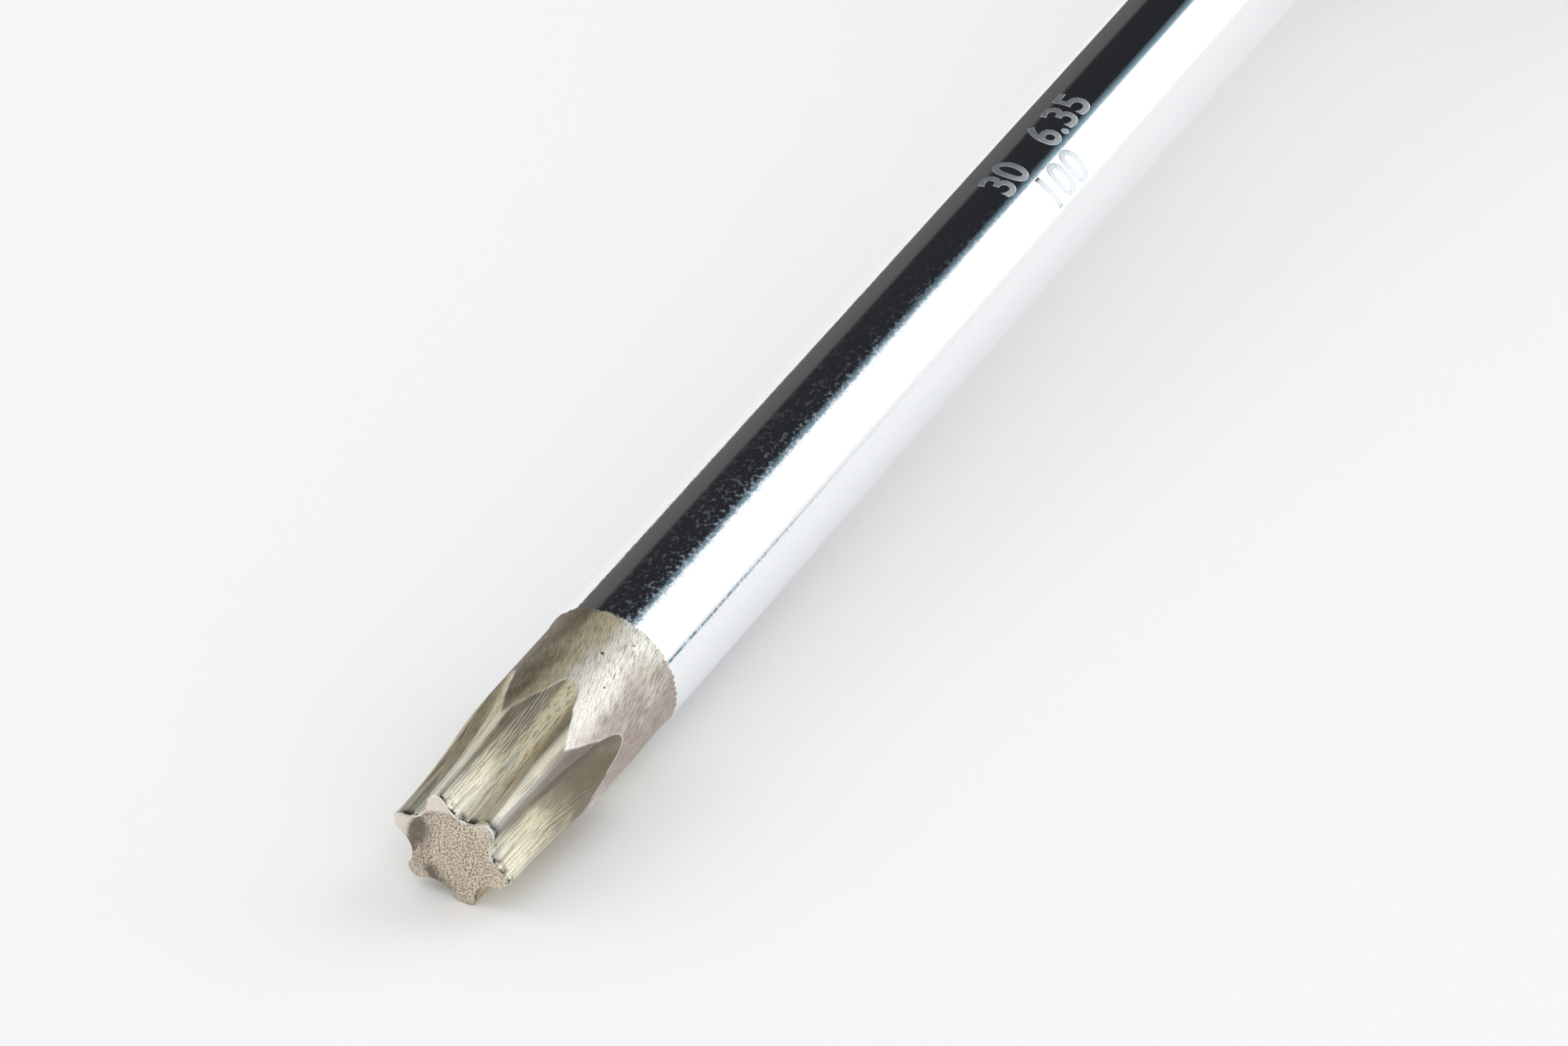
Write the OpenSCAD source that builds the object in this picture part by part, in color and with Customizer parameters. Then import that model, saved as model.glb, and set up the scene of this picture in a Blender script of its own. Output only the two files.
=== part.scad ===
// Fixed-blade screwdriver for six-lobe screws, drive size 30.
// A plated steel blade with a bare, milled tip is moulded into a hard inner core.
// Over the core come a hard handle body with six ribs, a soft grip with windows
// for the ribs, and an end cap that snaps into the body and carries a hanging hole.
// Millimetres. X runs along the tool from the tip face to the butt, Z is up.

/* [Blade] */
// diameter of the plated round bar
bar_d = 6.35; // [6.2:0.05:6.5]
// length of blade that stands out of the handle, from the tip face
blade_length = 100; // [75:1:150]
// length from the tip face over which the bar is turned and left bare
bare_length = 12.95; // [11:0.05:20]
// depth of the turned collar below the plated surface, on the radius
turned_step = 0.06; // [0.03:0.01:0.12]

/* [Six-lobe tip] */
// diameter over the six lobes
lobes_d = 5.6; // [5.5:0.02:5.68]
// diameter over the bottoms of opposite flutes
flutes_d = 4; // [3.9:0.02:4.1]
// radius of the rounded crest of a lobe
lobe_r = 0.46; // [0.42:0.01:0.5]
// radius of the disc cutter that mills the flutes
cutter_r = 34.2; // [30:0.2:38]
// length of flute at full depth before the cutter runs out
flute_straight = 0.1; // [0.1:0.1:2]
// radius of the flat in the middle of the tip face, inside the bevel
face_r = 1.95; // [1.8:0.05:2.1]
// depth of the bevel at the end of the lobes
bevel_depth = 0.04; // [0.02:0.01:0.2]
// angle of the first lobe, from +Y towards +Z
lobe_turn = 17.2; // [0:0.1:60]

/* [Tang] */
// thickness of core behind the end of the tang
tang_cover = 5; // [3:0.5:9]
// depth of the neck turned in the bar just inside the nose, on the radius
neck_depth = 0.5; // [0.3:0.05:0.7]
// length of the neck
neck_length = 2; // [1.5:0.25:3]
// width over a pair of pressed wings
wing_span = 12; // [10:0.5:14]
// thickness of a wing
wing_t = 2.4; // [1.8:0.1:3]
// length of a wing along the bar
wing_length = 11; // [8:0.5:12]
// slope at each end of a wing, along the bar
wing_slope = 2.5; // [1.5:0.5:3]
// depth below the bar's surface at which the slope of a wing starts
wing_root = 1; // [0.8:0.1:1.2]
// stretch of round bar between the two pairs of wings, and behind them
wing_space = 4; // [2:0.5:5]

/* [Handle] */
// length of the handle, nose to butt
handle_length = 108; // [96:1:120]
// diameter of the nose at the blade
nose_d = 13.6; // [12:0.2:15]
// radius that rounds the edge of the nose
nose_round = 1.5; // [1:0.25:2]
// diameter of the waist behind the nose
waist_d = 18; // [17.6:0.2:18.6]
// diameter of the palm swell
swell_d = 33; // [32.6:0.2:34]
// width across the six flats of the palm swell
flats_w = 30.4; // [30:0.2:31]
// radius that rounds the butt
butt_r = 7; // [5:0.5:9]
// thickness of the soft grip
soft_wall = 2.2; // [2:0.1:2.3]
// gap between pieces that are moulded on to one another
mould_gap = 0.05; // [0.02:0.01:0.08]
// width of a seam line between two pieces of the handle
seam_w = 0.5; // [0.3:0.1:0.7]

/* [Ribs and rings] */
// width of a hard rib in the middle
rib_w = 4.4; // [3.6:0.2:5]
// length of a hard rib
rib_length = 46; // [40:1:50]
// grip left between the end of a rib and the rear collar
rib_land = 2.2; // [1.5:0.1:4]
// finger rings in the waist of the grip
ring_count = 6; // [4:1:7]
// distance from one finger ring to the next
ring_pitch = 3.2; // [2.8:0.1:3.5]
// radius of the groove of a finger ring
ring_r = 0.7; // [0.5:0.1:0.9]

/* [End cap] */
// diameter of the hanging hole
hang_d = 6.5; // [5:0.5:7]
// diameter of the plug that holds the cap
plug_d = 18; // [16:0.5:19]
// length of the plug
plug_length = 8; // [7:0.5:9]
// height of the snap bead on the plug
bead_h = 0.35; // [0.2:0.05:0.5]
// slip between the plug and its socket, on the radius
plug_slip = 0.1; // [0.05:0.05:0.2]

/* [Hidden] */
$fn = 96;
// segments of the large circles of the handle
fine = 256;
// how far a solid runs into the next one where they are joined or cut
bite = 1;

bar_r = bar_d / 2;
collar_r = bar_r - turned_step;

// six-lobe section: the flute arc runs into the lobe arcs beside it
lobe_out = lobes_d / 2;
lobe_at = lobe_out - lobe_r;
flute_in = flutes_d / 2;
half_pitch = lobe_at * sin(30);
rise = flute_in - lobe_at * cos(30);
flute_r = (half_pitch * half_pitch + rise * rise - lobe_r * lobe_r) / (2 * (lobe_r - rise));
flute_at = [flute_in + flute_r, 0];
lobe_c = [lobe_at * cos(30), half_pitch];
// angle at which the two arcs meet, and where the cutter's edge leaves the crest for its straight lip
meet = asin(half_pitch / (flute_r + lobe_r));
crest = 24;
lip_turn = 108;
lip_length = 0.5;
lip = lobe_c + lobe_r * [cos(crest), sin(crest)] + lip_length * [cos(lip_turn), sin(lip_turn)];
arc_steps = 8;
// swing of the cutter past the end of the straight flute, and turn of the blank's start line off a flute
run_out = 25;
start_turn = 15;
half_edge = concat(
    [for (i = [0:arc_steps]) flute_at - flute_r * [cos(meet * i / arc_steps), -sin(meet * i / arc_steps)]],
    [for (i = [1:arc_steps]) let (a = (meet + crest) * i / arc_steps - meet)
        lobe_c + lobe_r * [cos(a), sin(a)]],
    [lip, [bar_r + bite, lip[1]]]
);
far_edge = [for (i = [len(half_edge) - 1:-1:1]) [half_edge[i][0], -half_edge[i][1]]];

// handle outline: a hollow waist arc that runs into a full palm arc
waist_at = 0.185 * handle_length;
swell_at = 0.704 * handle_length;
waist_r = waist_d / 2;
swell_r = swell_d / 2;
arc_run = swell_at - waist_at;
arc_rise = swell_r - waist_r;
arcs = (arc_run * arc_run + arc_rise * arc_rise) / (2 * arc_rise);
palm_arc = arcs / 2;
waist_arc = arcs - palm_arc;
waist_c = [waist_r + waist_arc, waist_at];
palm_c = [swell_r - palm_arc, swell_at];
function join_at(inset) = swell_at - (palm_arc - inset) * arc_run / arcs;
function outline(h) = h < join_at(0)
    ? waist_c[0] - sqrt(waist_arc * waist_arc - (h - waist_at) * (h - waist_at))
    : palm_c[0] + sqrt(palm_arc * palm_arc - (h - swell_at) * (h - swell_at));

// stations along the handle, from its nose
soft_from = 0.102 * handle_length;
soft_to = 0.852 * handle_length;
body_end = 0.88 * handle_length;
hang_at = (body_end + handle_length) / 2;
plug_r = plug_d / 2;
plug_end = body_end - plug_length;
core_from = soft_from / 2;
core_to = plug_end - 2 * soft_wall - plug_slip;
tang_length = core_to - tang_cover;
wing_at = [tang_length - 2 * (wing_length + wing_space), tang_length - wing_length - wing_space];
core_step = wing_at[0] - wing_space / 2;
core_slim = (bar_r + waist_r - soft_wall) / 2 + mould_gap;
core_full = wing_span / 2 + wing_t;
core_groove = wing_at[0] + wing_length;
rib_at = soft_to - rib_land - rib_length / 2;
ring_from = waist_at - ring_pitch * (ring_count - 1) / 2;

// butt: a round that runs on from the palm arc to a flat end
butt_lift = asin((handle_length - butt_r - swell_at) / (palm_arc - butt_r));
butt_c = [palm_c[0] + (palm_arc - butt_r) * cos(butt_lift), handle_length - butt_r];
butt_p = [palm_c[0] + palm_arc * cos(butt_lift), swell_at + palm_arc * sin(butt_lift)];

// pieces are drawn with the tool standing on its tip, then laid along X
module lay() rotate([0, 90, 0]) children();
module at_handle() translate([0, 0, blade_length]) children();

// what one pass of the form cutter takes: across the tool X is outwards, Y sideways
module cutter_edge() polygon(concat(far_edge, half_edge));

module flute_cut() {
    translate([0, 0, -bite]) linear_extrude(flute_straight + bite) cutter_edge();
    translate([cutter_r + flute_in, 0, flute_straight])
        rotate([90, 0, 180])
            rotate_extrude(angle = run_out)
                translate([cutter_r + flute_in, 0]) rotate(180) cutter_edge();
}

// two pairs of wings pressed out of the bar, which stop it turning in the handle
module wings(gap) {
    for (i = [0, 1])
        translate([0, 0, wing_at[i]]) rotate([90, 0, 90 * i])
            translate([0, 0, -wing_t / 2 - gap]) linear_extrude(wing_t + 2 * gap)
                polygon([
                    [-bar_r + wing_root, -gap], [bar_r - wing_root, -gap],
                    [wing_span / 2 + gap, wing_slope - gap],
                    [wing_span / 2 + gap, wing_length - wing_slope + gap],
                    [bar_r - wing_root, wing_length + gap], [-bar_r + wing_root, wing_length + gap],
                    [-wing_span / 2 - gap, wing_length - wing_slope + gap],
                    [-wing_span / 2 - gap, wing_slope - gap]
                ]);
}

// the space that the bar and its wings take inside the handle
module tang_space() {
    cylinder(h = tang_length + mould_gap, r = bar_r + mould_gap);
    wings(mould_gap);
}

// half section of the grip between two stations, drawn in from the outline by an inset
module grip_section(inset, from, to) {
    join = join_at(inset);
    if (from < join)
        difference() {
            translate([0, from]) square([swell_r, min(to, join) - from]);
            translate(waist_c) circle(waist_arc + inset, $fn = fine);
        }
    if (to > join)
        intersection() {
            translate([0, max(from, join)]) square([swell_r + bite, to - max(from, join)]);
            translate(palm_c) circle(palm_arc - inset, $fn = fine);
        }
}

// a small V at a seam, on the outline
module seam(h) translate([outline(h), h]) rotate(45) square(seam_w, center = true);

// six flats, one of them underneath
module flats(h) {
    translate([0, 0, -bite]) rotate(30) cylinder(h = h + 2 * bite, r = flats_w / 2 / cos(30), $fn = 6);
}

// a leaf-shaped column standing out from the axis, as a rib or as its window
module leaf(gap) {
    arc = (rib_length * rib_length + rib_w * rib_w) / (4 * rib_w);
    for (i = [0:5])
        rotate(30 + 60 * i)
            translate([swell_r / 2, 0, rib_at]) rotate([0, 90, 0]) linear_extrude(swell_r)
                intersection() {
                    translate([0, arc - rib_w / 2]) circle(arc + gap, $fn = fine);
                    translate([0, rib_w / 2 - arc]) circle(arc + gap, $fn = fine);
                }
}

// core: slim under the waist, full round the wings, with a groove between them
module core_section(gap) {
    ease = wing_space / 4;
    polygon([
        [0, core_from - gap],
        [core_slim + gap, core_from - gap],
        [core_slim + gap, core_step - (core_full - core_slim)],
        [core_full + gap, core_step],
        [core_full + gap, core_groove],
        [core_full + gap - ease, core_groove + ease],
        [core_full + gap - ease, core_groove + wing_space - ease],
        [core_full + gap, core_groove + wing_space],
        [core_full + gap, core_to - ease],
        [core_full + gap - ease, core_to + gap],
        [0, core_to + gap]
    ]);
}

// plug of the cap: a plain post with a snap bead half way along
module plug_section(slip) {
    bead_at = body_end - plug_length / 2;
    lead = 3 * bead_h;
    polygon([
        [0, plug_end - slip],
        [plug_r - lead + slip, plug_end - slip],
        [plug_r + slip, plug_end + lead],
        [plug_r + slip, bead_at - lead],
        [plug_r + bead_h + slip, bead_at],
        [plug_r + slip, bead_at + lead],
        [plug_r + slip, body_end + seam_w],
        [0, body_end + seam_w]
    ]);
}

// round steel bar: milled bare tip, plated shank, tang with wings
module blade() {
    color("silver") lay() {
        rotate(lobe_turn) difference() {
            rotate(start_turn) rotate_extrude()
                polygon([
                    [0, 0],
                    [face_r, 0],
                    [collar_r, bevel_depth * (collar_r - face_r) / (lobe_out - face_r)],
                    [collar_r, bare_length],
                    [bar_r, bare_length + turned_step],
                    [bar_r, blade_length],
                    [bar_r - neck_depth, blade_length],
                    [bar_r - neck_depth, blade_length + neck_length],
                    [bar_r, blade_length + neck_length],
                    [bar_r, blade_length + tang_length - bar_r / 3],
                    [bar_r * 2 / 3, blade_length + tang_length],
                    [0, blade_length + tang_length]
                ]);
            for (i = [0:5])
                rotate(60 * i) flute_cut();
        }
        at_handle() wings(0);
    }
}

// hard inner core, moulded round the tang before the rest
module tang_core() {
    color("ivory") lay() at_handle()
        difference() {
            rotate_extrude() core_section(0);
            tang_space();
        }
}

// hard handle body: nose, barrel under the grip, six ribs, rear collar with the socket
module handle_body() {
    color("dimgray") lay() at_handle()
        difference() {
            union() {
                rotate_extrude() {
                    difference() {
                        polygon([
                            [0, 0],
                            [nose_d / 2 - nose_round, 0],
                            [nose_d / 2 - nose_round, nose_round],
                            [nose_d / 2, nose_round],
                            [outline(soft_from), soft_from],
                            [0, soft_from]
                        ]);
                        seam(soft_from);
                    }
                    intersection() {
                        translate([nose_d / 2 - nose_round, nose_round]) circle(nose_round);
                        translate([nose_d / 2 - nose_round, 0]) square(nose_round);
                    }
                    grip_section(soft_wall + mould_gap, soft_from, soft_to + bite);
                }
                intersection() {
                    rotate_extrude()
                        difference() {
                            grip_section(0, soft_to + mould_gap, body_end);
                            seam(soft_to);
                            seam(body_end);
                        }
                    flats(handle_length);
                }
                intersection() {
                    leaf(0);
                    rotate_extrude() grip_section(0, rib_at - rib_length / 2 - bite, soft_to);
                    flats(handle_length);
                }
            }
            translate([0, 0, -neck_length])
                cylinder(h = 2 * neck_length, r = bar_r - neck_depth + mould_gap);
            translate([0, 0, neck_length - mould_gap])
                cylinder(h = core_from - neck_length + 2 * mould_gap, r = bar_r + mould_gap);
            rotate_extrude() core_section(mould_gap);
            rotate_extrude() plug_section(plug_slip);
        }
}

// soft grip, moulded over the barrel between the nose and the rear collar
module soft_grip() {
    color("black") lay() at_handle()
        difference() {
            intersection() {
                rotate_extrude()
                    difference() {
                        grip_section(0, soft_from + mould_gap, soft_to);
                        grip_section(soft_wall, soft_from, soft_to + bite);
                        seam(soft_from);
                        seam(soft_to);
                        for (i = [0:ring_count - 1])
                            translate([outline(ring_from + ring_pitch * i) + ring_r / 3,
                                       ring_from + ring_pitch * i]) circle(ring_r);
                    }
                flats(handle_length);
            }
            leaf(mould_gap);
        }
}

// end cap: round butt, hanging hole, plug with a snap bead
module end_cap() {
    color("gray") lay() at_handle()
        difference() {
            rotate_extrude() {
                difference() {
                    grip_section(0, body_end + mould_gap, butt_p[1]);
                    seam(body_end);
                }
                polygon([[0, butt_p[1]], butt_p, butt_c, [butt_c[0], handle_length],
                         [0, handle_length]]);
                intersection() {
                    translate(butt_c) circle(butt_r);
                    polygon([butt_c, butt_c + 2 * (butt_p - butt_c),
                             butt_c + [2 * butt_r, 2 * butt_r], butt_c + [0, 2 * butt_r]]);
                }
                plug_section(0);
            }
            translate([0, swell_r, hang_at]) rotate([90, 0, 0]) cylinder(h = swell_d, r = hang_d / 2);
        }
}

blade();
tang_core();
handle_body();
soft_grip();
end_cap();
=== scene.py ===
# Six-lobe screwdriver with a fixed blade, in the frame of its CAD model: X runs along the tool from the
# face of the tip to the butt, Z is up, and one flat of the handle lies underneath. Sizes are in metres.
import math

import bmesh
import bpy
from mathutils import Matrix, Vector


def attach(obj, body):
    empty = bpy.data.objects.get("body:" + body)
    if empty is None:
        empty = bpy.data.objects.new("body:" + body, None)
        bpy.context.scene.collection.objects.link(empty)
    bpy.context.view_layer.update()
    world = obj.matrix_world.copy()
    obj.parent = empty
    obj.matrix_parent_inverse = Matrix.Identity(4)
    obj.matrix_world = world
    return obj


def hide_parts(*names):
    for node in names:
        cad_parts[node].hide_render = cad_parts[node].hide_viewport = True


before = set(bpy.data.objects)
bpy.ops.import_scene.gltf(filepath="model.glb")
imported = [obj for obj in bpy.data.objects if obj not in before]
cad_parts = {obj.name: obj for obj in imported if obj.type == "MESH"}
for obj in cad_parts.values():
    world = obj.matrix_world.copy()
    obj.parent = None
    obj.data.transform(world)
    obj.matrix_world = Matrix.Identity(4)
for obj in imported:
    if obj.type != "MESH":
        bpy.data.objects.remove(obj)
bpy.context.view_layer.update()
MM = 0.001

# Blade: one round bar of tool steel. Its front is turned just below the plated bar and left bare, and its
# rear end is necked behind the nose and pressed into two pairs of wings that the handle is moulded round.
BAR_R = 3.175 * MM
COLLAR_R = 3.115 * MM
BARE_LENGTH = 12.95 * MM
PLATING_SLOPE = 0.3 * MM
PLATING_LIP = 0.1 * MM
BLADE_LENGTH = 100 * MM
NECK_R = 2.675 * MM
NECK_LENGTH = 2 * MM
TANG_END = 177.54 * MM
WING_SPAN = 12 * MM
WING_T = 2.4 * MM
WING_LENGTH = 11 * MM
WING_SLOPE = 2.5 * MM
WING_STARTS = (147.54 * MM, 162.54 * MM)
WING_ROOT = 1 * MM
TANG_BEVEL = BAR_R / 3
EDGE_BREAK = 0.1 * MM
FACE_RINGS = 16
# where each stretch of the tip ends, and its number of rings: most of them where the flutes run out
TIP_STRETCHES = ((0.4 * MM, 4), (5.1 * MM, 32), (9.0 * MM, 98), (BARE_LENGTH - PLATING_SLOPE, 6))
COLUMNS = 480
CENTRE_SHARE = 1e-6
SAME_PLACE = 1e-9
SHARP_TURN = math.radians(25)


def spread(start, end, steps):
    """Stations after start, evenly spaced up to end."""
    return [start + (end - start) * i / steps for i in range(1, steps + 1)]


def blank_profile():
    """Half outline of the turned bar from the tip face to the tang's end: (x, radius, share of face)."""
    face = [(0, COLLAR_R * share, share) for share in spread(0, 1, FACE_RINGS)]
    stations = [EDGE_BREAK]
    for stretch_end, rings in TIP_STRETCHES:
        stations += spread(stations[-1], stretch_end, rings)
    tip = [(x, COLLAR_R, 0) for x in stations]
    lip = [(BARE_LENGTH, BAR_R, 0), (BARE_LENGTH + PLATING_LIP, BAR_R, 0)]
    bar = [(BLADE_LENGTH, BAR_R, 0), (BLADE_LENGTH, NECK_R, 0)]
    neck_end = BLADE_LENGTH + NECK_LENGTH
    tang = [(neck_end, NECK_R, 0), (neck_end, BAR_R, 0), (TANG_END - TANG_BEVEL, BAR_R, 0)]
    tail = [(TANG_END, BAR_R - TANG_BEVEL, 0)]
    return face + tip + lip + bar + tang + tail


def turned_blank(name, profile):
    """A mesh turned from a half outline, closed at both ends, with sharp edges where the outline bends."""
    shape = bmesh.new()
    share_of_face = shape.verts.layers.float.new("face_share")
    turns = [2 * math.pi * i / COLUMNS for i in range(COLUMNS)]
    rings = []
    for x, radius, share in profile:
        ring = [shape.verts.new((x, radius * math.cos(t), radius * math.sin(t))) for t in turns]
        for vert in ring:
            vert[share_of_face] = share
        rings.append(ring)
    front = shape.verts.new((profile[0][0], 0, 0))
    front[share_of_face] = CENTRE_SHARE
    rear = shape.verts.new((profile[-1][0], 0, 0))
    for i in range(COLUMNS):
        after = (i + 1) % COLUMNS
        shape.faces.new((front, rings[0][after], rings[0][i]))
        shape.faces.new((rear, rings[-1][i], rings[-1][after]))
        for low, high in zip(rings, rings[1:]):
            shape.faces.new((low[i], low[after], high[after], high[i]))
    for face in shape.faces:
        face.smooth = True
    shape.normal_update()
    for edge in shape.edges:
        along_ring = abs(edge.verts[0].co.x - edge.verts[1].co.x) < SAME_PLACE
        if along_ring and edge.calc_face_angle(0) > SHARP_TURN:
            edge.smooth = False
    mesh = bpy.data.meshes.new(name)
    shape.to_mesh(mesh)
    shape.free()
    return mesh


class Term:
    """A value of a node tree that is worked on with plain arithmetic: each step adds a Math node."""

    def __init__(self, tree, socket):
        self.tree = tree
        self.socket = socket

    def math(self, operation, *others):
        node = self.tree.nodes.new("ShaderNodeMath")
        node.operation = operation
        for place, value in zip(node.inputs, (self, *others)):
            if isinstance(value, Term):
                self.tree.links.new(value.socket, place)
            else:
                place.default_value = value
        return Term(self.tree, node.outputs[0])

    def __add__(self, other):
        return self.math("ADD", other)

    def __sub__(self, other):
        return self.math("SUBTRACT", other)

    def __mul__(self, other):
        return self.math("MULTIPLY", other)

    def __truediv__(self, other):
        return self.math("DIVIDE", other)

    def ramp(self, low, high, from_value=0.0, to_value=1.0):
        """A smooth step from one value to another as this one goes from low to high."""
        node = self.tree.nodes.new("ShaderNodeMapRange")
        node.interpolation_type = "SMOOTHSTEP"
        self.tree.links.new(self.socket, node.inputs["Value"])
        limits = {"From Min": low, "From Max": high, "To Min": from_value, "To Max": to_value}
        for name, value in limits.items():
            node.inputs[name].default_value = value
        return Term(self.tree, node.outputs[0])


def node_of(tree, kind, links=(), **settings):
    """A new node with its settings made and its inputs, by name or number, linked or filled in."""
    node = tree.nodes.new(kind)
    for name, value in settings.items():
        setattr(node, name, value)
    for key, value in dict(links).items():
        if isinstance(value, Term):
            tree.links.new(value.socket, node.inputs[key])
        elif isinstance(value, bpy.types.NodeSocket):
            tree.links.new(value, node.inputs[key])
        else:
            node.inputs[key].default_value = value
    return node


# Tip of the blade: six flutes milled by a disc cutter whose edge has the hollow of a flute and half of the
# two lobes beside it. It cuts at full depth from the face, then lifts out along its own radius.
MILLING = {
    "Collar radius": COLLAR_R,
    "Lobe radius": 0.46 * MM,
    "Lobe centre": 2.34 * MM,
    "Flute bottom": 2.0 * MM,
    "Flute radius": 1.19 * MM,
    "Cutter radius": 34.2 * MM,
    "Full depth": 0.1 * MM,
    "First lobe": math.radians(17.2),
    "Face radius": 1.95 * MM,
    "Bevel slope": 0.04 / 0.85,
    "Bevel reach": 2.0 * MM,
    "Edge break": EDGE_BREAK,
    "Burr": 0.01 * MM,
    "Ridge rise": 0.72,
    "Ridge slope": 0.20,
    "Ridge curve": 0.93,
    "Ridge limit": 0.43,
}
FLUTES = 6
HALF_PITCH = math.pi / FLUTES
LIFT_LIMIT = 0.8


def milling_tree(material):
    """Geometry Nodes that mill the flutes into a turned blank and store where the cutter went."""
    tree = bpy.data.node_groups.new("mill_six_flutes", "GeometryNodeTree")
    tree.interface.new_socket("Blank", in_out="INPUT", socket_type="NodeSocketGeometry")
    for name in MILLING:
        tree.interface.new_socket(name, in_out="INPUT", socket_type="NodeSocketFloat")
    tree.interface.new_socket("Blade", in_out="OUTPUT", socket_type="NodeSocketGeometry")
    start = node_of(tree, "NodeGroupInput")
    size = {name: Term(tree, start.outputs[name]) for name in MILLING}

    position = node_of(tree, "GeometryNodeInputPosition")
    parts = node_of(tree, "ShaderNodeSeparateXYZ", {0: position.outputs[0]})
    x, y, z = (Term(tree, parts.outputs[i]) for i in range(3))
    blank_r = (y * y + z * z).math("SQRT")
    turn = z.math("ARCTAN2", y)
    share = node_of(tree, "GeometryNodeInputNamedAttribute", {"Name": "face_share"}, data_type="FLOAT")
    face_share = Term(tree, share.outputs["Attribute"])
    on_face = face_share.math("GREATER_THAN", 0.0)

    # angle from the middle of the nearest flute, and how far the cutter has lifted
    across = (turn - size["First lobe"] - HALF_PITCH).math("PINGPONG", HALF_PITCH)
    cutter = size["Cutter radius"]
    past = (x - size["Full depth"]).math("MAXIMUM", 0.0).math("MINIMUM", cutter * LIFT_LIMIT)
    lift = cutter - (cutter * cutter - past * past).math("SQRT")

    # hollow of the flute: the near side of a circle that stands outside the bar
    flute_r = size["Flute radius"]
    flute_at = size["Flute bottom"] + flute_r + lift
    flute_side = flute_at * across.math("SINE")
    flute_root = (flute_r * flute_r - flute_side * flute_side).math("MAXIMUM", 0.0).math("SQRT")
    hollow = flute_at * across.math("COSINE") - flute_root

    # crest of the lobe: the far side of a small circle half a pitch away
    lobe_r = size["Lobe radius"]
    lobe_out = size["Lobe centre"] * math.cos(HALF_PITCH) + lift
    lobe_side = size["Lobe centre"] * math.sin(HALF_PITCH)
    lobe_at = (lobe_out * lobe_out + lobe_side * lobe_side).math("SQRT")
    off_lobe = across - lobe_side.math("ARCTAN2", lobe_out)
    crest_side = lobe_at * off_lobe.math("SINE")
    crest_root = (lobe_r * lobe_r - crest_side * crest_side).math("MAXIMUM", 0.0).math("SQRT")
    crest = lobe_at * off_lobe.math("COSINE") + crest_root

    # the two circles touch on the line between their centres
    reach = flute_r / (flute_r + lobe_r)
    touch_side = lobe_side * reach
    touch_out = flute_at + (lobe_out - flute_at) * reach
    past_touch = across.math("GREATER_THAN", touch_side.math("ARCTAN2", touch_out))
    form = hollow + (crest - hollow) * past_touch

    # the lips of two cuts meet in a low roof on the ridge, which runs out to a V on the collar
    off_ridge = across.math("MULTIPLY_ADD", -1.0, HALF_PITCH)
    roof_top = size["Lobe centre"] + lobe_r + lift * size["Ridge rise"]
    slope = (size["Ridge slope"] + off_ridge * size["Ridge curve"]).math("MINIMUM", size["Ridge limit"])
    roof = roof_top / (off_ridge.math("COSINE") + off_ridge.math("SINE") * slope)
    cut = form.math("MINIMUM", roof)

    side_r = blank_r.math("SMOOTH_MIN", cut, size["Burr"])
    face_r = face_share * (cut - size["Edge break"])
    radius = side_r + (face_r - side_r) * on_face
    bevel = (radius - size["Face radius"]).math("MAXIMUM", 0.0) * size["Bevel slope"]
    ease = (x / size["Bevel reach"]).math("MULTIPLY_ADD", -1.0, 1.0).math("MAXIMUM", 0.0)
    place = {0: x + bevel * ease, 1: radius * turn.math("COSINE"), 2: radius * turn.math("SINE")}
    milled_place = node_of(tree, "ShaderNodeCombineXYZ", place)

    # what the finish reads: depth of the cut below the collar, place across a flute, the end face
    below = size["Collar radius"] - cut
    stores = {
        "across": across / HALF_PITCH,
        "side": ((turn - size["First lobe"] - HALF_PITCH) * FLUTES).math("SINE"),
        "face": on_face,
        "depth": below / MM,
    }
    geometry = start.outputs["Blank"]
    for name, value in stores.items():
        stored = node_of(tree, "GeometryNodeStoreNamedAttribute",
                         {"Geometry": geometry, "Name": name, "Value": value},
                         data_type="FLOAT", domain="POINT")
        geometry = stored.outputs[0]
    moved = node_of(tree, "GeometryNodeSetPosition",
                    {"Geometry": geometry, "Position": milled_place.outputs[0]})
    real = node_of(tree, "GeometryNodeRealizeInstances", {"Geometry": moved.outputs[0]})
    painted = node_of(tree, "GeometryNodeSetMaterial", {"Geometry": real.outputs[0], "Material": material})
    node_of(tree, "NodeGroupOutput", {"Blade": painted.outputs[0]})
    return tree


def plain_mesh(name, mesh, tree, sizes):
    """A new object whose mesh is what a Geometry Nodes tree makes of the given one."""
    maker = bpy.data.objects.new(name, mesh)
    bpy.context.scene.collection.objects.link(maker)
    modifier = maker.modifiers.new("maker", "NODES")
    modifier.node_group = tree
    for socket in tree.interface.items_tree:
        if socket.in_out == "INPUT" and socket.name in sizes:
            modifier[socket.identifier] = sizes[socket.name]
    shape = bpy.data.meshes.new_from_object(maker.evaluated_get(bpy.context.evaluated_depsgraph_get()))
    maker.modifiers.remove(modifier)
    maker.data = shape
    shape.name = name
    return maker


# Finish of the blade: the plating is bright and a little mottled near its ragged edge. The bare tip keeps
# the marks of its making: slanting turning lines on the collar, rows of cutter dots in the flutes, and a
# grainy face. Its patterns are laid out in millimetres. Some of its colours are painted light and shade
# that follow the side of the bar.
TURNING_SLANT = math.tan(math.radians(17)) / (COLLAR_R / MM)
FLUTE_ARC = 1.35
ROW_PITCH = 0.09
DOT_PITCH = 0.075
PLATED_FROM = BARE_LENGTH / MM
MOTTLE_REACH = 55
STEEL_RELIEF = 0.004 * MM
# black pits of the collar, as (place, radius)
PITS = (((10.76, -1.02, 2.94), 0.09), ((12.14, -1.74, 2.59), 0.05), ((9.36, -1.91, 2.46), 0.05))


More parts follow.
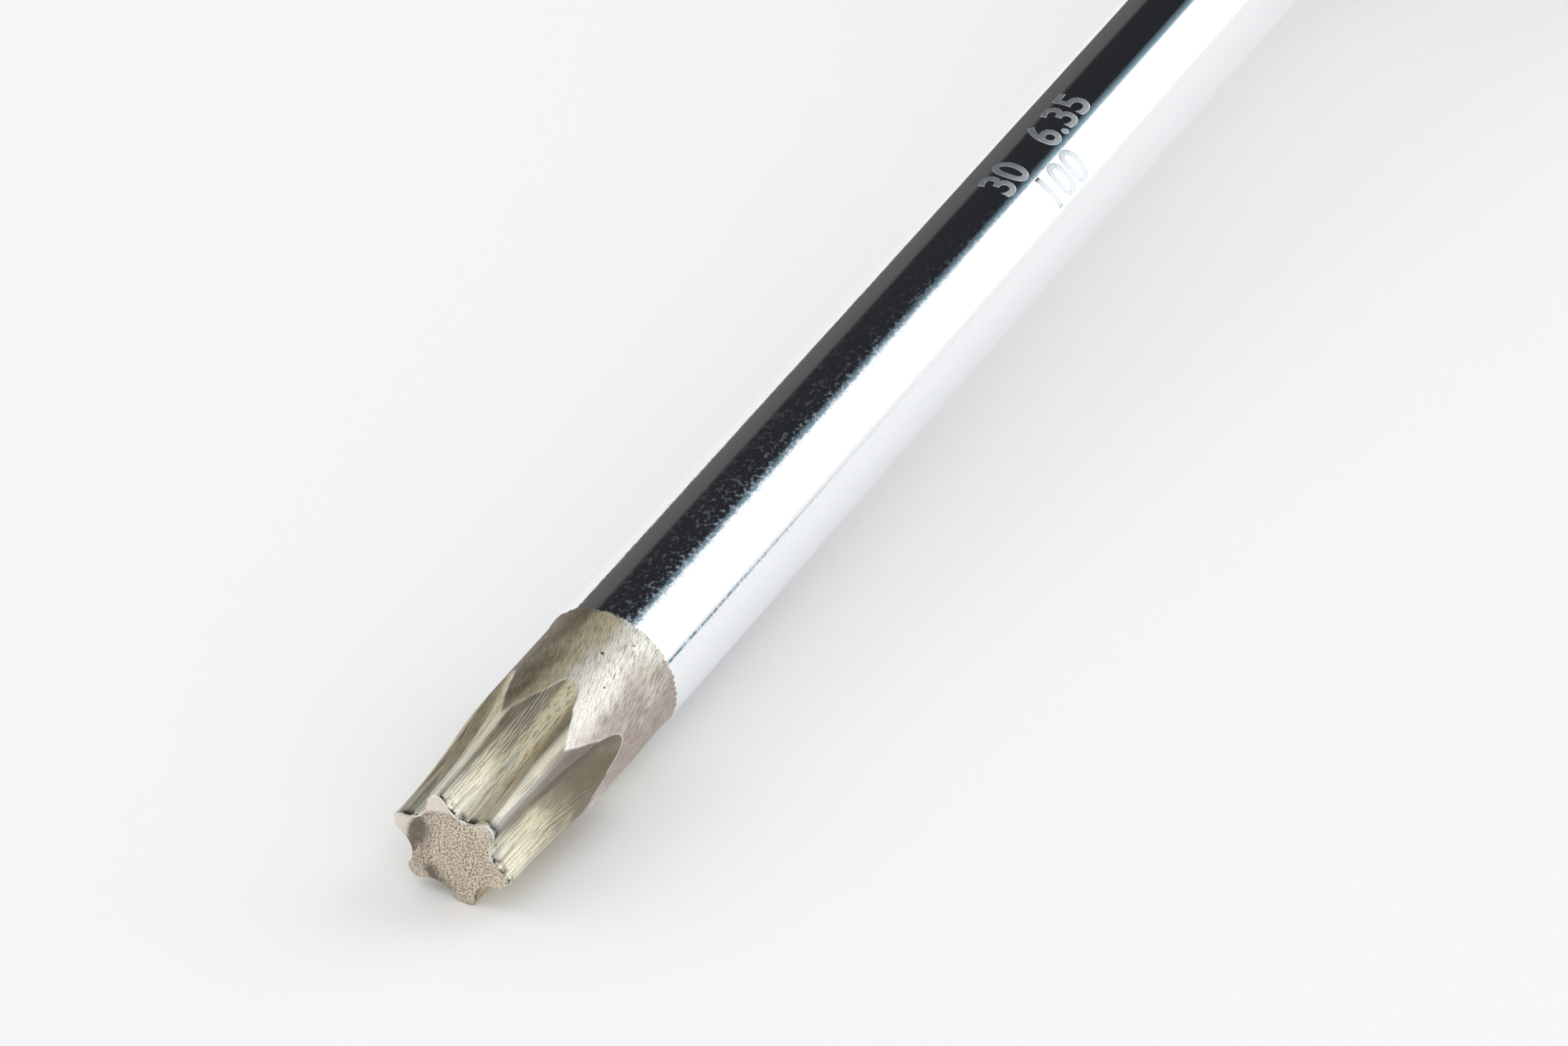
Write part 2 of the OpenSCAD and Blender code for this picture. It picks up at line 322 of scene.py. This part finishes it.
def texture(tree, kind, vector, scale, output, **inputs):
    """A pattern read at a place in millimetres, stretched by its scale along each axis."""
    stretched = node_of(tree, "ShaderNodeVectorMath", {0: vector, 1: scale}, operation="MULTIPLY")
    pattern = node_of(tree, kind, {"Vector": stretched.outputs[0], "Scale": 1.0, **inputs})
    return Term(tree, pattern.outputs[output])


def noise(tree, vector, scale, detail=3.0):
    """A cloudy pattern between 0 and 1."""
    return texture(tree, "ShaderNodeTexNoise", vector, scale, "Fac", Detail=detail)


def mixed(tree, share, first, second):
    """A colour that goes from the first to the second by a share."""
    node = node_of(tree, "ShaderNodeMix", {0: share, 6: first, 7: second}, data_type="RGBA")
    return node.outputs[2]


def attribute(tree, name):
    """A value that the milling stored on the mesh."""
    node = node_of(tree, "ShaderNodeAttribute", attribute_name=name)
    return Term(tree, node.outputs["Fac"])


def millimetres(tree):
    """Object coordinates in millimetres."""
    place = node_of(tree, "ShaderNodeTexCoord").outputs["Object"]
    scaled = node_of(tree, "ShaderNodeVectorMath", {0: place, 3: 1 / MM}, operation="SCALE")
    return scaled.outputs[0]


def new_material(name):
    """A new material, with its node tree and its shader."""
    material = bpy.data.materials.new(name)
    material.use_nodes = True
    return material, material.node_tree, material.node_tree.nodes["Principled BSDF"]


def blade_finish():
    """Steel that is bare up to the plating's edge, with the marks of its making, and bright behind it."""
    material, tree, shader = new_material("bare_and_plated_steel")
    place = millimetres(tree)
    parts = node_of(tree, "ShaderNodeSeparateXYZ", {0: place})
    x, y, z = (Term(tree, parts.outputs[i]) for i in range(3))
    twisted = node_of(tree, "ShaderNodeVectorRotate", {"Vector": place, "Angle": x * TURNING_SLANT},
                      rotation_type="X_AXIS")
    slant = twisted.outputs[0]
    across = attribute(tree, "across")
    side = attribute(tree, "side")
    face = attribute(tree, "face")
    depth = attribute(tree, "depth")
    milled = depth.ramp(0.0, 0.012)
    crease = depth.math("ABSOLUTE").ramp(0.0, 0.035, 1, 0)

    # turned collar: fine slanting lines. Across the bar its colours are painted light and shade: a cream
    # highlight on top, browner shade to the left, and mauve to the right for the shaded paper it reflects
    cream = (1.0, 0.985, 0.91, 1)
    tan = (0.78, 0.69, 0.48, 1)
    brown = (0.22, 0.185, 0.125, 1)
    shade_reflection_mauve = (0.52, 0.44, 0.40, 1)
    dark_line = (0.13, 0.105, 0.07, 1)
    light_line = (0.93, 0.89, 0.77, 1)
    collar_grit = (0.11, 0.09, 0.06, 1)
    collar_stain = (0.36, 0.30, 0.21, 1)
    lines = noise(tree, slant, (2.0, 26, 26), 4)
    grit = noise(tree, place, (20, 20, 20), 2)
    blotch = noise(tree, place, (0.5, 0.9, 0.9), 4)
    stain = noise(tree, place, (0.4, 0.6, 0.6), 4)
    left = y + (blotch - 0.5) * 2.4
    collar = mixed(tree, left.ramp(-1.6, -0.1), cream, tan)
    collar = mixed(tree, left.ramp(-0.1, 1.3), collar, brown)
    collar = mixed(tree, left.ramp(-3.1, -1.9, 1, 0), collar, shade_reflection_mauve)
    scored = lines.ramp(0.48, 0.66, 0, 1) * x.ramp(6.5, 10.5, 0.3, 0.65)
    collar = mixed(tree, scored, collar, dark_line)
    collar = mixed(tree, lines.ramp(0.32, 0.44, 0.3, 0), collar, light_line)
    collar = mixed(tree, grit.ramp(0.50, 0.68, 0, 0.3), collar, collar_grit)
    collar = mixed(tree, stain.ramp(0.54, 0.70, 0, 0.4), collar, collar_stain)

    # milled flutes: axial rows of cutter dots, gold on one wall, heat tints where the cutter lifts; painted
    # light on the floors of the upper flutes, and painted shade in the brown on the sides of the bar
    pale_steel = (0.94, 0.91, 0.76, 1)
    straw = (0.86, 0.77, 0.51, 1)
    deep_gold = (0.76, 0.61, 0.34, 1)
    painted_light_yellow = (0.97, 0.90, 0.66, 1)
    dark_band = (0.10, 0.09, 0.06, 1)
    heat_blue = (0.34, 0.42, 0.47, 1)
    heat_tint_and_shade_brown = (0.11, 0.082, 0.062, 1)
    dark_row = (0.20, 0.16, 0.10, 1)
    flute_grit = (0.12, 0.10, 0.07, 1)
    streak = noise(tree, place, (0.14, 2.0, 2.0), 3)
    rows = noise(tree, place, (0.25, 10, 10), 3)
    patches = noise(tree, place, (0.6, 0.9, 0.9), 3)
    row_wave = (across * (2 * math.pi * FLUTE_ARC / ROW_PITCH)).math("SINE")
    dot_wave = (x * (2 * math.pi / DOT_PITCH) + rows * 7).math("SINE")
    dots = ((row_wave + 1) * (dot_wave + 1)) * 0.25
    back = x + (streak - 0.5) * 6
    left_wall = (across - 0.42).math("ABSOLUTE").ramp(0.06, 0.32, 1, 0) * side.ramp(-0.6, -0.2, 1, 0)
    band = left_wall * (back + y.math("ABSOLUTE") * 1.4).ramp(2.2, 5.4) * y.ramp(0.8, 2.2, 1, 0.25)
    # painted light: the floors of the upper flutes are lightened where the light falls on them
    painted_light_flute_floor = side.ramp(-0.5, 0.3) * across.ramp(0.22, 0.50, 1, 0) * y.ramp(-1.9, -1.2) * milled
    worn = patches.ramp(0.46, 0.62, 0.15, 0.8).math("MAXIMUM", band)
    flute = mixed(tree, back.ramp(0.6, 5.5), pale_steel, straw)
    gold = side.ramp(0.2, 0.9, 0, 0.75) * patches.ramp(0.34, 0.56) * y.ramp(-1.9, -1.2, 0.25, 1)
    flute = mixed(tree, gold, flute, deep_gold)
    flute = mixed(tree, painted_light_flute_floor * 0.6, flute, painted_light_yellow)
    flute = mixed(tree, band * rows.ramp(0.36, 0.58, 0.5, 0.92), flute, dark_band)
    blue = noise(tree, place, (0.8, 1.6, 1.6), 2).ramp(0.60, 0.70, 0, 0.45)
    flute = mixed(tree, blue, flute, heat_blue)
    # heat tint, and painted shade: the burnt brown grows on the sides of the bar, most on the right, none
    # on top
    off_top = y.ramp(-1.9, -1.2, 0.85, 0) + y.ramp(0.8, 2.2, 0, 0.3)
    burnt_and_shaded = off_top * (x + patches * 4).ramp(4.2, 7.8)
    shallow = depth.ramp(0.0, 0.9, 0.7, 0) * side.ramp(-0.7, -0.2, 1, 0.1) * y.ramp(0.8, 2.2, 1, 0.3)
    flute = mixed(tree, burnt_and_shaded.math("MAXIMUM", shallow), flute, heat_tint_and_shade_brown)
    flute = mixed(tree, rows.ramp(0.48, 0.66, 0, 0.6), flute, dark_row)
    flute = mixed(tree, grit.ramp(0.52, 0.70, 0, 0.4), flute, flute_grit)

    # ridges between the flutes: painted shade on the shaded side (a dark wall, then grey), painted light in
    # cream on the lit one, and along the top a pale band that is partly wear and partly a painted highlight
    shaded_wall = (0.24, 0.195, 0.175, 1)
    grey_side = (0.50, 0.49, 0.48, 1)
    cream_side = (0.93, 0.87, 0.70, 1)
    worn_and_highlight_top = (0.86, 0.83, 0.70, 1)
    shaded = side.ramp(-0.1, 0.1, 1, 0) * y.ramp(-1.6, -1.0, 1, 0)
    flute = mixed(tree, across.ramp(0.40, 0.65, 0, 0.75) * shaded, flute, shaded_wall)
    grey = across.ramp(0.82, 0.93, 0, 0.9) * shaded * x.ramp(2.5, 5.5, 1, 0.4)
    flute = mixed(tree, grey, flute, grey_side)
    lit = side.ramp(-0.1, 0.1) * y.ramp(-1.0, -0.6, 1, 0) * z.ramp(0.3, 1.2)
    wall = across.ramp(0.60, 0.76, 0, 0.85) * across.ramp(0.86, 0.97, 1, 0.3)
    flute = mixed(tree, wall * lit, flute, cream_side)
    ridge = across.ramp(0.82, 0.97) * y.ramp(-0.3, 0.3) * x.ramp(4.5, 7.5, 1, 0.1) * milled
    flute = mixed(tree, ridge * 0.7, flute, worn_and_highlight_top)

    # cutter dots over flutes and ridges, and soot beside the face
    dark_dot = (0.06, 0.053, 0.04, 1)
    light_dot = (0.92, 0.90, 0.82, 1)
    soot_black = (0.025, 0.027, 0.022, 1)
    flute = mixed(tree, dots.ramp(0.3, 0.8, 0, 0.8) * worn, flute, dark_dot)
    flute = mixed(tree, dots.ramp(0.0, 0.12, 0.35, 0) * worn, flute, light_dot)
    soot = noise(tree, place, (2.2, 2.2, 2.2), 3).ramp(0.45, 0.55) * x.ramp(0.12, 0.65, 0.95, 0)
    flute = mixed(tree, soot, flute, soot_black)
    bare = mixed(tree, milled, collar, flute)

    # sheared end face: warm grains with dark pores; a blotchy stain on the left that is partly painted
    # shade;
    # cleaner lobes, lightened towards the top by a painted highlight
    dark_grain = (0.36, 0.295, 0.215, 1)
    light_grain = (0.78, 0.68, 0.56, 1)
    dark_pore = (0.08, 0.06, 0.042, 1)
    face_stain_and_shade = (0.12, 0.10, 0.073, 1)
    clean_lobe_highlight = (0.84, 0.77, 0.67, 1)
    grains = noise(tree, place, (11, 11, 11), 2)
    holes = texture(tree, "ShaderNodeTexVoronoi", place, (9, 9, 9), "Distance", Randomness=1.0)
    pores = holes.ramp(0.16, 0.42, 1, 0)
    middle = node_of(tree, "ShaderNodeVectorMath", {0: place, 1: (0, 1, 1)}, operation="MULTIPLY")
    off_axis = node_of(tree, "ShaderNodeVectorMath", {0: middle.outputs[0]}, operation="LENGTH")
    radius = Term(tree, off_axis.outputs["Value"])
    upper = z + y * 0.6
    clean_and_lit = radius.ramp(1.9, 2.15) * upper.ramp(0.0, 2.4, 0.2, 1)
    grain = mixed(tree, grains.ramp(0.38, 0.58), dark_grain, light_grain)
    grain = mixed(tree, pores * grains.ramp(0.40, 0.58, 1, 0.5), grain, dark_pore)
    stained_and_shaded = blotch.ramp(0.40, 0.56, 0.2, 0.85) * (y + radius).ramp(1.4, 2.8)
    grain = mixed(tree, stained_and_shaded, grain, face_stain_and_shade)
    grain = mixed(tree, clean_and_lit * 0.9, grain, clean_lobe_highlight)
    bare = mixed(tree, face, bare, grain)

    # painted highlights along the creases at the edges of the flutes and round the rim of the face,
    # stronger towards the top and broken up by noise, and a few black pits
    edge_highlight_steel = (0.98, 0.96, 0.92, 1)
    pit_black = (0.03, 0.025, 0.02, 1)
    highlight_breakup = noise(tree, place, (1.5, 1.5, 1.5), 3).ramp(0.30, 0.50)
    face_edge = face * face.math("MULTIPLY_ADD", -1.0, 1.0) * 4
    face_rim_highlight = face_edge.ramp(0.5, 1.0) * upper.ramp(-2.0, 1.5, 0.25, 1)
    bare = mixed(tree, (crease * 0.35).math("MAXIMUM", face_rim_highlight) * highlight_breakup, bare, edge_highlight_steel)
    cells = texture(tree, "ShaderNodeTexVoronoi", place, (0.5, 0.5, 0.5), "Distance", Randomness=1.0)
    pits = cells.ramp(0.02, 0.036, 1, 0)
    for pit_at, pit_r in PITS:
        apart = node_of(tree, "ShaderNodeVectorMath", {0: place, 1: pit_at}, operation="DISTANCE")
        pit = Term(tree, apart.outputs["Value"]).ramp(pit_r * 0.6, pit_r * 1.2, 1, 0)
        pits = pits.math("MAXIMUM", pit)
    bare = mixed(tree, pits * 0.9, bare, pit_black)

    # plating: it ends in ragged teeth along the turning lines, and is mottled near them on top of the bar
    bright = (0.95, 0.96, 0.97, 1)
    clouded = (0.86, 0.92, 0.96, 1)
    teeth = noise(tree, slant, (1.2, 10, 10), 3)
    plated = (x + (teeth - 0.5) * 0.45 - PLATED_FROM).ramp(-0.03, 0.03)
    on_top = y.ramp(0.0, 0.8, 1, 0.3) * y.ramp(-2.4, -1.5, 0.35, 1)
    near_edge = x.ramp(PLATED_FROM, PLATED_FROM + MOTTLE_REACH, 1, 0.08) * on_top
    mottle = noise(tree, place, (4.6, 5.2, 5.2), 4)
    cloudy = mottle.ramp(0.42, 0.70) * near_edge
    plating = mixed(tree, cloudy, bright, clouded)
    tree.links.new(mixed(tree, plated, bare, plating), shader.inputs["Base Color"])

    # sheen: the grainy face is dullest, and the worn ridges with their painted highlight and the flute
    # floors with their painted light are less like a mirror
    worked_rough = lines * 0.14 + 0.44 - milled * 0.06
    grain_rough = grains * 0.2 + 0.45
    bare_rough = worked_rough + (grain_rough - worked_rough) * face
    bright_rough = cloudy * 0.33 + 0.055
    rough = bare_rough + (bright_rough - bare_rough) * plated
    tree.links.new(rough.socket, shader.inputs["Roughness"])
    metal = plated * 0.3 + 0.7 - ridge * 0.35 - painted_light_flute_floor * 0.22
    tree.links.new(metal.socket, shader.inputs["Metallic"])

    # relief: a few microns of lines, dots, grains and pits, and the faint waves of a drawn bar
    speckle = (noise(tree, place, (6, 6, 6), 3) + mottle) * near_edge
    drawn = noise(tree, place, (0.03, 3.5, 3.5), 2) * 0.6
    wave = noise(tree, place, (0.12, 0.5, 0.5), 2) * 3
    collar_height = lines * 1.8 + grit * 0.8
    flute_height = rows * 1.4 + grit * 0.6 - dots * worn * 2.2
    bare_height = collar_height + (flute_height - collar_height) * milled
    bare_height = bare_height + (grains * 6 - pores * 2 - bare_height) * face - pits * 3
    height = bare_height + (speckle + drawn + wave - bare_height) * plated
    bump = node_of(tree, "ShaderNodeBump", {"Strength": 1.0, "Distance": STEEL_RELIEF, "Height": height})
    tree.links.new(bump.outputs[0], shader.inputs["Normal"])
    return material


def wing_prism(mesh, start, sideways):
    """Adds one pair of wings: a flat plate with sloped ends that goes through the bar."""
    half = WING_SPAN / 2
    root = BAR_R - WING_ROOT
    slope_end = WING_LENGTH - WING_SLOPE
    outline = [(0, -root), (0, root), (WING_SLOPE, half), (slope_end, half),
               (WING_LENGTH, root), (WING_LENGTH, -root), (slope_end, -half), (WING_SLOPE, -half)]
    shape = bmesh.new()
    shape.from_mesh(mesh)
    sides = []
    for level in (-WING_T / 2, WING_T / 2):
        points = [Vector((start + along, out, level)) for along, out in outline]
        if sideways:
            points = [Vector((p.x, -p.z, p.y)) for p in points]
        sides.append([shape.verts.new(p) for p in points])
    below, above = sides
    shape.faces.new(below)
    shape.faces.new(reversed(above))
    for i in range(len(outline)):
        after = (i + 1) % len(outline)
        shape.faces.new((below[after], below[i], above[i], above[after]))
    shape.to_mesh(mesh)
    shape.free()


blade_steel = blade_finish()
blank = turned_blank("blank", blank_profile())
for wing_start, wing_sideways in zip(WING_STARTS, (True, False)):
    wing_prism(blank, wing_start, wing_sideways)
blade = plain_mesh("blade_bar", blank, milling_tree(blade_steel), MILLING)
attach(blade, "root")
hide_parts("blade")

# Size numbers: drive size, bar diameter and blade length, etched into the plating in two rows that read
# towards the handle. The etch is a frosted skin a few microns proud of the bright bar.
NUMBER_ROWS = (("30   6.35", 47 * MM, math.radians(109)), ("100", 48.5 * MM, math.radians(146)))
NUMBER_SIZE = 2.4 * MM
STROKE_GROWTH = 0.05 * MM
ETCH_SUNK = 0.01 * MM
ETCH_PROUD = 0.004 * MM
ETCH_RELIEF = 0.006 * MM
EDGE_HALVINGS = 3
WELD = 1e-7


def flat_numbers(numbers):
    """The outlines of a row of numbers, a little thickened and filled, lying flat."""
    curve = bpy.data.curves.new("numbers", "FONT")
    curve.body = numbers
    curve.size = NUMBER_SIZE
    curve.offset = STROKE_GROWTH
    writing = bpy.data.objects.new("numbers", curve)
    bpy.context.scene.collection.objects.link(writing)
    mesh = bpy.data.meshes.new_from_object(writing.evaluated_get(bpy.context.evaluated_depsgraph_get()))
    bpy.data.objects.remove(writing)
    return mesh


def etching_tree(material):
    """Geometry Nodes that wrap flat numbers round the bar as a thin closed skin."""
    tree = bpy.data.node_groups.new("etch_numbers", "GeometryNodeTree")
    tree.interface.new_socket("Numbers", in_out="INPUT", socket_type="NodeSocketGeometry")
    for name in ("Start", "Baseline", "Bar radius", "Thickness"):
        tree.interface.new_socket(name, in_out="INPUT", socket_type="NodeSocketFloat")
    tree.interface.new_socket("Etching", in_out="OUTPUT", socket_type="NodeSocketGeometry")
    start = node_of(tree, "NodeGroupInput")
    size = {socket.name: socket for socket in start.outputs}
    whole = node_of(tree, "GeometryNodeMergeByDistance", {"Geometry": size["Numbers"], "Distance": WELD})
    fine = node_of(tree, "GeometryNodeSubdivideMesh", {"Mesh": whole.outputs[0], "Level": EDGE_HALVINGS})
    position = node_of(tree, "GeometryNodeInputPosition")
    parts = node_of(tree, "ShaderNodeSeparateXYZ", {0: position.outputs[0]})
    along, high = (Term(tree, parts.outputs[i]) for i in range(2))
    bar_r = Term(tree, size["Bar radius"])
    angle = Term(tree, size["Baseline"]) - high / bar_r
    wrapped = node_of(tree, "ShaderNodeCombineXYZ", {
        0: along + Term(tree, size["Start"]),
        1: bar_r * angle.math("COSINE"),
        2: bar_r * angle.math("SINE"),
    })
    skin = node_of(tree, "GeometryNodeSetPosition",
                   {"Geometry": fine.outputs[0], "Position": wrapped.outputs[0]})
    raised = node_of(tree, "GeometryNodeExtrudeMesh",
                     {"Mesh": skin.outputs[0], "Offset Scale": size["Thickness"], "Individual": False},
                     mode="FACES")
    under = node_of(tree, "GeometryNodeFlipFaces", {0: skin.outputs[0]})
    joined = node_of(tree, "GeometryNodeJoinGeometry", {0: raised.outputs[0]})
    tree.links.new(under.outputs[0], joined.inputs[0])
    closed = node_of(tree, "GeometryNodeMergeByDistance", {"Geometry": joined.outputs[0], "Distance": WELD})
    real = node_of(tree, "GeometryNodeRealizeInstances", {0: closed.outputs[0]})
    painted = node_of(tree, "GeometryNodeSetMaterial", {"Geometry": real.outputs[0], "Material": material})
    node_of(tree, "NodeGroupOutput", {0: painted.outputs[0]})
    return tree


def etched_steel():
    """Plating that the etch has frosted."""
    dull = (0.70, 0.76, 0.79, 1)
    pale = (0.90, 0.93, 0.95, 1)
    material, tree, shader = new_material("etched_plating")
    frost = noise(tree, millimetres(tree), (14, 14, 14), 3)
    tree.links.new(mixed(tree, frost.ramp(0.35, 0.65), dull, pale), shader.inputs["Base Color"])
    tree.links.new((frost * 0.2 + 0.42).socket, shader.inputs["Roughness"])
    shader.inputs["Metallic"].default_value = 1.0
    bump = node_of(tree, "ShaderNodeBump", {"Strength": 1.0, "Distance": ETCH_RELIEF, "Height": frost})
    tree.links.new(bump.outputs[0], shader.inputs["Normal"])
    return material


etching = etching_tree(etched_steel())
for row, (numbers, row_start, baseline) in enumerate(NUMBER_ROWS):
    row_sizes = {"Start": row_start, "Baseline": baseline,
                 "Bar radius": BAR_R - ETCH_SUNK, "Thickness": ETCH_SUNK + ETCH_PROUD}
    number_row = plain_mesh(f"size_numbers_{row + 1}", flat_numbers(numbers), etching, row_sizes)
    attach(number_row, "root")

# Inner core: hard plastic moulded round the tang before the rest of the handle, and quite hidden by it.
# It is left in the natural ivory of the unfilled plastic, dull and a little cloudy.
PLASTIC_RELIEF = 0.01 * MM


def dress(node, material):
    """Gives a CAD node its finish."""
    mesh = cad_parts[node].data
    mesh.materials.clear()
    mesh.materials.append(material)


def moulded_plastic(name, colour, deep, rough, grain):
    """Moulded plastic: faint flow marks in the colour and a fine eroded skin."""
    material, tree, shader = new_material(name)
    place = millimetres(tree)
    flow = noise(tree, place, (0.05, 0.16, 0.16), 4)
    skin = noise(tree, place, (grain, grain, grain), 2)
    tree.links.new(mixed(tree, flow.ramp(0.35, 0.7), colour, deep), shader.inputs["Base Color"])
    tree.links.new((skin * 0.12 + rough).socket, shader.inputs["Roughness"])
    bump = node_of(tree, "ShaderNodeBump", {"Strength": 1.0, "Distance": PLASTIC_RELIEF, "Height": skin})
    tree.links.new(bump.outputs[0], shader.inputs["Normal"])
    return material


core_plastic = moulded_plastic("natural_core_plastic", colour=(0.62, 0.57, 0.46, 1),
                               deep=(0.55, 0.50, 0.40, 1), rough=0.45, grain=4)
dress("tang_core", core_plastic)

# Handle body: hard graphite plastic moulded over the core. Its nose, its six ribs and its rear collar show,
# with the satin of a finely eroded mould.
body_plastic = moulded_plastic("graphite_body_plastic", colour=(0.11, 0.14, 0.19, 1),
                               deep=(0.09, 0.115, 0.16, 1), rough=0.22, grain=5)
dress("handle_body", body_plastic)

# Soft grip: black soft plastic moulded over the barrel, with windows for the ribs and rings in its waist.
# It is matt, and its grain is finer than that of the hard plastic.
grip_plastic = moulded_plastic("black_soft_grip", colour=(0.018, 0.019, 0.021, 1),
                               deep=(0.028, 0.029, 0.031, 1), rough=0.55, grain=6)
dress("soft_grip", grip_plastic)

# End cap: hard graphite plastic, a shade lighter than the body and snapped into its rear end by a bead.
# A hole goes through it, to hang the tool by.
cap_plastic = moulded_plastic("graphite_cap_plastic", colour=(0.13, 0.16, 0.21, 1),
                              deep=(0.11, 0.135, 0.18, 1), rough=0.26, grain=5)
dress("end_cap", cap_plastic)

# Floor: a sheet of pale paper. The tool rests on the lowest lobe of its tip and on the flat under its grip,
# so the sheet slopes in the frame of the CAD model.
FLOOR_SIZE = 3.0
TIP_REACH = 3 * MM
PAPER_RELIEF = 0.004 * MM
tip_low = min((v.co for v in blade.data.vertices if v.co.x < TIP_REACH), key=lambda co: co.z)
handle_nodes = [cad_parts[name] for name in ("soft_grip", "handle_body", "end_cap")]
handle_points = [v.co for node in handle_nodes for v in node.data.vertices]
floor_slope = min((co.z - tip_low.z) / (co.x - tip_low.x) for co in handle_points)
floor_up = Vector((-floor_slope, 0, 1)).normalized()


def floor_paper():
    """Pale paper, a little cloudy, with a fine fibre."""
    white = (0.945, 0.945, 0.945, 1)
    cool_white = (0.925, 0.925, 0.93, 1)
    material, tree, shader = new_material("pale_paper")
    place = millimetres(tree)
    cloud = noise(tree, place, (0.004, 0.004, 0.004), 2)
    fibre = noise(tree, place, (3, 3, 3), 3)
    tree.links.new(mixed(tree, cloud.ramp(0.3, 0.7), cool_white, white), shader.inputs["Base Color"])
    shader.inputs["Roughness"].default_value = 0.9
    shader.inputs["Specular IOR Level"].default_value = 0.2
    bump = node_of(tree, "ShaderNodeBump", {"Strength": 1.0, "Distance": PAPER_RELIEF, "Height": fibre})
    tree.links.new(bump.outputs[0], shader.inputs["Normal"])
    return material


half_floor = FLOOR_SIZE / 2
signs = [(-1, -1), (1, -1), (1, 1), (-1, 1)]
corners = [(half_floor * i, half_floor * j) for i, j in signs]
floor_points = [(tip_low.x + along, out, tip_low.z + floor_slope * along) for along, out in corners]
floor_mesh = bpy.data.meshes.new("floor")
floor_mesh.from_pydata(floor_points, [], [(0, 1, 2, 3)])
floor_mesh.materials.append(floor_paper())
floor = bpy.data.objects.new("floor", floor_mesh)
bpy.context.scene.collection.objects.link(floor)

# Light: one broad soft lamp, high on the left above the handle, throws a faint shadow to the right. Round
# it stands the studio that the plating shows: dark from the left to overhead, a white screen on the right
# with a thin gap at its foot, a pale horizon, and a pale room behind the camera.
LAMP_AT = Vector((0.36, 0.46, 0.84))
LAMP_SIZE = 2.6
LAMP_POWER = 15.2
# from the left horizon at 0, over the top at 0.5, to the right horizon at 1
SKY = [(0.0, (0.12, 0.12, 0.12)), (0.19, (0.10, 0.10, 0.10)), (0.23, (0.024, 0.024, 0.027)),
       (0.52, (0.02, 0.021, 0.026)), (0.575, (0.24, 0.36, 0.43)), (0.61, (1.7, 1.7, 1.7))]
DIM_SIDE = (0.06, 0.06, 0.065, 1)
PALE_ROOM = (1.15, 1.15, 1.16, 1)
DARK_STRIP = (0.06, 0.06, 0.07, 1)
PALE_HORIZON = (0.93, 0.93, 0.935, 1)
BLUE_GAP = (0.03, 0.16, 0.24, 1)

lamp_data = bpy.data.lights.new("soft_lamp", "AREA")
lamp_data.size = LAMP_SIZE
lamp_data.energy = LAMP_POWER
lamp = bpy.data.objects.new("soft_lamp", lamp_data)
lamp.location = LAMP_AT
lamp.visible_glossy = False
lamp.rotation_euler = LAMP_AT.to_track_quat("Z", "Y").to_euler()
bpy.context.scene.collection.objects.link(lamp)

world = bpy.data.worlds.new("studio")
world.use_nodes = True
bpy.context.scene.world = world
sky = world.node_tree
sky.nodes.clear()
direction = node_of(sky, "ShaderNodeTexCoord").outputs["Generated"]
heading = node_of(sky, "ShaderNodeSeparateXYZ", {0: direction})
ahead, left, up = (Term(sky, heading.outputs[i]) for i in range(3))
swing = up.math("ARCTAN2", left).math("MAXIMUM", 0.0) / math.pi
ramp = node_of(sky, "ShaderNodeValToRGB", {"Fac": swing})
stops = ramp.color_ramp.elements
while len(stops) < len(SKY):
    stops.new(0.5)
for stop, (stop_at, stop_colour) in zip(stops, SKY):
    stop.position = stop_at
    stop.color = (*stop_colour, 1)
sides = mixed(sky, ahead.ramp(0.28, 0.58, 0.12, 1), DIM_SIDE, ramp.outputs[0])
strip = swing.ramp(0.30, 0.36) * swing.ramp(0.44, 0.50, 1, 0)
room = mixed(sky, strip * ahead.ramp(-0.45, -0.25, 0.85, 0), PALE_ROOM, DARK_STRIP)
around = mixed(sky, ahead.ramp(-0.35, 0.05), room, sides)
tilted = node_of(sky, "ShaderNodeVectorMath", {0: direction, 1: floor_up}, operation="DOT_PRODUCT")
level = Term(sky, tilted.outputs["Value"])
flag = ahead.ramp(0.55, 0.62) * left.ramp(0.3, 0.5)
around = mixed(sky, (level + flag * 0.09).ramp(0.10, 0.14, 1, 0), around, PALE_HORIZON)
gap_place = left.ramp(-0.2, 0, 1, 0) * ahead.ramp(0.60, 0.62) * ahead.ramp(0.655, 0.70, 1, 0)
gap = level.ramp(0.035, 0.05, 1, 0) * gap_place
background = node_of(sky, "ShaderNodeBackground", {"Color": mixed(sky, gap, around, BLUE_GAP)})
node_of(sky, "ShaderNodeOutputWorld", {"Surface": background.outputs[0]})

# Camera: close above the tip, looking along the blade towards the handle, with a long lens. Its place is
# fitted to the lobes, the ends of the flutes, the edge of the plating and the outline of the bar.
CAMERA_AT = Vector((-168.09, -115.0, 174.23)) * MM
CAMERA_LOOK = Vector((0.6806, 0.3997, -0.6140))
CAMERA_UP = Vector((0.5492, 0.2763, 0.7887))
camera_data = bpy.data.cameras.new("camera")
camera_data.lens = 151.66
camera_data.sensor_width = 36
camera_data.clip_start = 0.01
camera_data.clip_end = 20
camera = bpy.data.objects.new("camera", camera_data)
back = -CAMERA_LOOK.normalized()
right = CAMERA_UP.cross(back).normalized()
turn = Matrix((right, back.cross(right), back)).transposed().to_4x4()
camera.matrix_world = Matrix.Translation(CAMERA_AT) @ turn
bpy.context.scene.collection.objects.link(camera)
bpy.context.scene.camera = camera
bpy.context.scene.view_settings.view_transform = "Standard"
